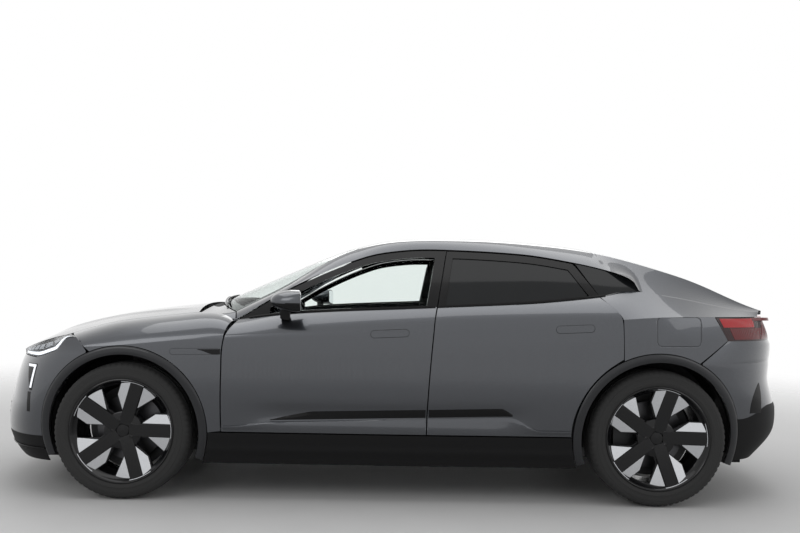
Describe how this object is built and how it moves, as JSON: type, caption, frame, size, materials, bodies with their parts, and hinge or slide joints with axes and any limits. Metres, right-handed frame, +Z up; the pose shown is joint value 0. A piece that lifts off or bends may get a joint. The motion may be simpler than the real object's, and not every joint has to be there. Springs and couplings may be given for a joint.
{
  "type": "coupe sport utility vehicle",
  "caption": "Four-door coupe sport utility vehicle with fastback tail, windowless tailgate, opening doors, hood and charge flap, steered front wheels and a furnished cabin.",
  "frame": {"origin": "on the ground under the middle of the vehicle's outer box", "axes": "+X rearward, +Y to the vehicle's right, +Z up"},
  "size_m": [4.8423, 2.148, 1.5339],
  "materials": {
    "grey_paint": "metallic clear coat",
    "panel_paint": "metallic clear coat",
    "dark_steel": "dip primer",
    "pack_alu": "rolled sheet",
    "cast_alu": "as cast",
    "chassis_steel": "black coat",
    "black_plastic": "fine grain",
    "dark_glass": "dark tint",
    "clear_glass": "light tint",
    "lamp_lens": "clear lens",
    "red_lens": "red ribbed lens",
    "cabin_plastic": "soft grain",
    "seat_cloth": "woven cloth",
    "wheel_leather": "fine grain",
    "wheel_alu": "black and machined faces",
    "tyre_rubber": "tread and sidewall"
  },
  "bodies": {
    "body": {"platform": "dark_steel", "body_side_left": "grey_paint", "body_side_right": "grey_paint", "bulkhead": "dark_steel", "cowl": "black_plastic", "front_tub": "black_plastic", "fender_left": "grey_paint", "fender_right": "grey_paint", "front_bumper": "grey_paint", "front_lip": "black_plastic", "rear_bumper": "grey_paint", "rear_diffuser": "black_plastic", "arch_trims": "grey_paint", "rocker_covers": "black_plastic", "roof_frame": "dark_steel", "roof_glass": "dark_glass", "windscreen": "clear_glass", "quarter_panes": "dark_glass", "headlamps": "lamp_lens", "tail_lamps": "red_lens", "dashboard": "cabin_plastic", "front_seats": "seat_cloth", "rear_bench": "seat_cloth", "battery_pack": "pack_alu", "drive_units": "cast_alu", "front_suspension": "chassis_steel", "rear_suspension": "chassis_steel", "wheel_liners": "black_plastic"},
    "front_door_left": {"door_front_left": "panel_paint", "glass_front_left": "clear_glass", "mirror_left": "grey_paint"},
    "rear_door_left": {"door_rear_left": "panel_paint", "glass_rear_left": "dark_glass"},
    "upright_left": {"knuckle_left": "cast_alu"},
    "roller_front_left": {"wheel_front_left": "wheel_alu", "tyre_front_left": "tyre_rubber"},
    "roller_rear_left": {"wheel_rear_left": "wheel_alu", "tyre_rear_left": "tyre_rubber"},
    "front_door_right": {"door_front_right": "panel_paint", "glass_front_right": "clear_glass", "mirror_right": "grey_paint"},
    "rear_door_right": {"door_rear_right": "panel_paint", "glass_rear_right": "dark_glass"},
    "upright_right": {"knuckle_right": "cast_alu"},
    "roller_front_right": {"wheel_front_right": "wheel_alu", "tyre_front_right": "tyre_rubber"},
    "roller_rear_right": {"wheel_rear_right": "wheel_alu", "tyre_rear_right": "tyre_rubber"},
    "hood_lid": {"hood": "panel_paint"},
    "tailgate_lid": {"tailgate": "panel_paint"},
    "flap": {"charge_flap": "grey_paint"},
    "steering": {"steering_wheel": "wheel_leather"}
  },
  "joints": [
    {"name": "door_front_left_hinge", "type": "hinge", "parent": "body", "child": "front_door_left", "pos_m": [-0.87692, -0.97859, 0.7], "axis": [0, 0, -1], "range_deg": [0, 66]},
    {"name": "door_rear_left_hinge", "type": "hinge", "parent": "body", "child": "rear_door_left", "pos_m": [0.28497, -0.9905, 0.7], "axis": [0, 0, -1], "range_deg": [0, 68]},
    {"name": "door_front_right_hinge", "type": "hinge", "parent": "body", "child": "front_door_right", "pos_m": [-0.87692, 0.97859, 0.7], "axis": [0, 0, 1], "range_deg": [0, 66]},
    {"name": "door_rear_right_hinge", "type": "hinge", "parent": "body", "child": "rear_door_right", "pos_m": [0.28497, 0.9905, 0.7], "axis": [0, 0, 1], "range_deg": [0, 68]},
    {"name": "hood_hinge", "type": "hinge", "parent": "body", "child": "hood_lid", "pos_m": [-1.197, 0, 1.011], "axis": [0, 1, 0], "range_deg": [0, 42]},
    {"name": "tailgate_hinge", "type": "hinge", "parent": "body", "child": "tailgate_lid", "pos_m": [1.247, 0, 1.45776], "axis": [0, -1, 0], "range_deg": [0, 68]},
    {"name": "charge_flap_hinge", "type": "hinge", "parent": "body", "child": "flap", "pos_m": [1.518, -0.98909, 0.959], "axis": [0, 0, -1], "range_deg": [0, 84]},
    {"name": "steer_left", "type": "hinge", "parent": "body", "child": "upright_left", "pos_m": [-1.495, -0.76, 0.3825], "axis": [0, 0, 1], "range_deg": [-35, 35]},
    {"name": "steer_right", "type": "hinge", "parent": "body", "child": "upright_right", "pos_m": [-1.495, 0.76, 0.3825], "axis": [0, 0, 1], "range_deg": [-35, 35]},
    {"name": "steering_column", "type": "hinge", "parent": "body", "child": "steering", "pos_m": [-0.535, -0.372, 0.965], "axis": [0.9272, 0, 0.3746], "range_deg": [-490, 490]},
    {"name": "spin_front_left", "type": "hinge", "parent": "upright_left", "child": "roller_front_left", "pos_m": [-1.495, -0.848, 0.3825], "axis": [0, 1, 0], "continuous": true},
    {"name": "spin_front_right", "type": "hinge", "parent": "upright_right", "child": "roller_front_right", "pos_m": [-1.495, 0.848, 0.3825], "axis": [0, 1, 0], "continuous": true},
    {"name": "spin_rear_left", "type": "hinge", "parent": "body", "child": "roller_rear_left", "pos_m": [1.504, -0.848, 0.3825], "axis": [0, 1, 0], "continuous": true},
    {"name": "spin_rear_right", "type": "hinge", "parent": "body", "child": "roller_rear_right", "pos_m": [1.504, 0.848, 0.3825], "axis": [0, 1, 0], "continuous": true}
  ],
  "couplings": [
    {"joint": "steer_right", "follows": "steer_left", "ratio": 1},
    {"joint": "steering_column", "follows": "steer_left", "ratio": 14}
  ]
}
